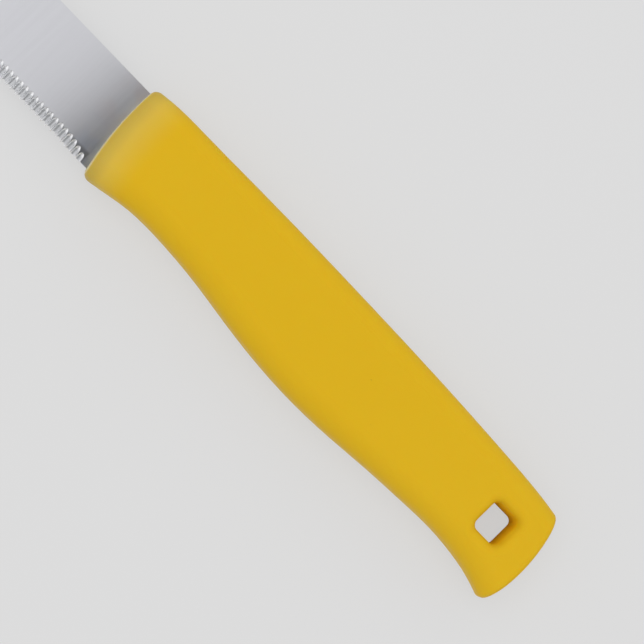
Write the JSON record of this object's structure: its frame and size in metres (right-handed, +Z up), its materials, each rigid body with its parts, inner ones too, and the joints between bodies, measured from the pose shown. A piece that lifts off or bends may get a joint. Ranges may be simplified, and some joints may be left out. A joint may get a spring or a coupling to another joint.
{
  "type": "drywall saw",
  "caption": "Drywall jab saw lying on its side: a stiff toothed blade with a plunge tip, and a moulded plastic handle with a hanging hole.",
  "frame": {"origin": "middle of the saw's outline, on the surface it lies on", "axes": "+X along the blade towards its tip, +Y towards the toothed edge, +Z up out of the broad side with the ground teeth"},
  "size_m": [0.2794, 0.0268, 0.017],
  "materials": {
    "blade_steel": "bright rolled steel with ground teeth",
    "handle_plastic": "moulded polypropylene, satin"
  },
  "bodies": {
    "root": {"blade": "blade_steel", "handle": "handle_plastic"}
  },
  "joints": []
}
